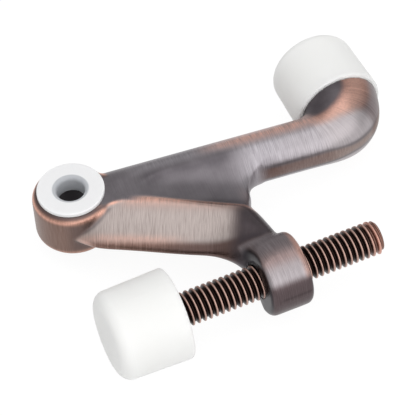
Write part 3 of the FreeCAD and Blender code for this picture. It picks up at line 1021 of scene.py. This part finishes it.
@dataclass
class Studio:
    """Pale floor, soft lights and the camera of the photograph."""

    azimuth: float = -0.3748
    elevation: float = 0.8509
    roll: float = 0.0648
    distance_mm: float = 546.43
    target_mm: tuple[float, float, float] = (33.18, -4.74, -6.0)
    focal_px: float = 2400.0
    offset_px: tuple[float, float] = (7.708, -34.369)
    sensor_mm: float = 36.0
    sight_m: tuple[float, float] = (0.01, 10.0)
    floor_z_mm: float = -16.9
    floor_reach_m: float = 2.0
    # The floor's grey in plain light, its own glow where it is seen, and the grey there that takes the shadow.
    floor_grey: float = 0.8
    floor_glow: float = 0.92
    shadow_grey: float = 0.12
    lit_mm: tuple[float, float, float] = (33.0, -15.0, -6.0)
    sky: float = 0.69
    lamps: tuple[Softbox, ...] = (Softbox("softbox_front", (80.0, -550.0, 270.0), 900.0, 520.0, 1.0),
                                  Softbox("softbox_over", (33.0, -80.0, 420.0), 460.0, 460.0, 0.87))

    def camera(self) -> None:
        """Place the camera at the photograph's viewing angle."""
        right = Vector((math.cos(self.azimuth), math.sin(self.azimuth), 0))
        back = Vector((math.sin(self.azimuth) * math.cos(self.elevation),
                       -math.cos(self.azimuth) * math.cos(self.elevation), math.sin(self.elevation)))
        up = back.cross(right)
        c, s = math.cos(self.roll), math.sin(self.roll)
        turned = Matrix((c * right - s * up, s * right + c * up, back)).transposed().to_4x4()
        place = (Vector(self.target_mm) + back * self.distance_mm) * MM
        data = bpy.data.cameras.new("camera")
        data.sensor_fit = "HORIZONTAL"
        data.sensor_width = self.sensor_mm
        data.lens = self.sensor_mm * self.focal_px / FRAME_PX
        data.shift_x = -self.offset_px[0] / FRAME_PX
        data.shift_y = self.offset_px[1] / FRAME_PX
        data.clip_start, data.clip_end = self.sight_m
        camera = bpy.data.objects.new("camera", data)
        camera.matrix_world = Matrix.Translation(place) @ turned
        bpy.context.scene.collection.objects.link(camera)
        bpy.context.scene.camera = camera

    def floor(self) -> None:
        """Lay the pale floor, which is white where it is seen or mirrored and takes the object's shadow."""
        mesh = bpy.data.meshes.new("floor")
        reach, z = self.floor_reach_m, self.floor_z_mm * MM
        mesh.from_pydata([(-reach, -reach, z), (reach, -reach, z), (reach, reach, z), (-reach, reach, z)], [],
                         [(0, 1, 2, 3)])
        floor = bpy.data.objects.new("floor", mesh)
        bpy.context.scene.collection.objects.link(floor)
        material, tree, output = new_material("pale_floor")
        path = add_node(tree, "ShaderNodeLightPath")
        mirrored = add_node(tree, "ShaderNodeMath", {"operation": "MAXIMUM"}, {
            0: path.outputs["Is Glossy Ray"], 1: path.outputs["Is Transmission Ray"]})
        seen = add_node(tree, "ShaderNodeMath", {"operation": "MAXIMUM"}, {
            0: path.outputs["Is Camera Ray"], 1: mirrored.outputs[0]})
        matt = add_node(tree, "ShaderNodeBsdfDiffuse", None, {"Color": (*[self.floor_grey] * 3, 1)})
        glow = add_node(tree, "ShaderNodeEmission", None, {"Color": (1, 1, 1, 1), "Strength": self.floor_glow})
        faint = add_node(tree, "ShaderNodeBsdfDiffuse", None, {"Color": (*[self.shadow_grey] * 3, 1)})
        white = add_node(tree, "ShaderNodeAddShader", None, {0: glow.outputs[0], 1: faint.outputs[0]})
        mix = add_node(tree, "ShaderNodeMixShader", None, {
            0: seen.outputs[0], 1: matt.outputs[0], 2: white.outputs[0]})
        tree.links.new(mix.outputs[0], output.inputs["Surface"])
        mesh.materials.append(material)

    def world(self) -> None:
        """Light the scene from all round with a plain pale sky."""
        world = bpy.data.worlds.new("studio")
        bpy.context.scene.world = world
        world.use_nodes = True
        tree = world.node_tree
        tree.nodes.clear()
        output = tree.nodes.new("ShaderNodeOutputWorld")
        sky = add_node(tree, "ShaderNodeBackground", None, {"Color": (1, 1, 1, 1), "Strength": self.sky})
        tree.links.new(sky.outputs[0], output.inputs["Surface"])

    def build(self) -> None:
        """Build the whole set."""
        self.camera()
        self.floor()
        self.world()
        for lamp in self.lamps:
            lamp.build(self.lit_mm)


def main() -> None:
    """Build the door stop's pieces in order."""
    logging.basicConfig(level=logging.INFO)
    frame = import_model()
    bpy.context.scene.view_settings.view_transform = "Standard"
    nodes = frame["nodes"]
    casting = Casting().build(nodes["arm_casting"], AntiqueCopper().build())
    LOG.info("%s: %d vertices", casting.name, len(casting.data.vertices))
    rod = ThreadedRod()
    screw = rod.build(RolledThread().build(rod.axis, rod.end_x))
    LOG.info("%s: %d vertices", screw.name, len(screw.data.vertices))
    rubber = MouldedWhite("white_rubber_moulded", "#ededec", "#eaeae8", roughness=0.5).build()
    nylon = MouldedWhite("white_nylon_moulded", "#eeeeef", "#ebebec", roughness=0.4, bleed_mm=0.5, hole_mm=3.2).build()
    for name, material in (("screw_bumper", rubber), ("arm_bumper", rubber), ("pin_bushing", nylon)):
        nodes[name].data.materials.clear()
        nodes[name].data.materials.append(material)
        LOG.info("%s: %s", name, material.name)
    Studio().build()


if __name__ == "__main__":
    main()
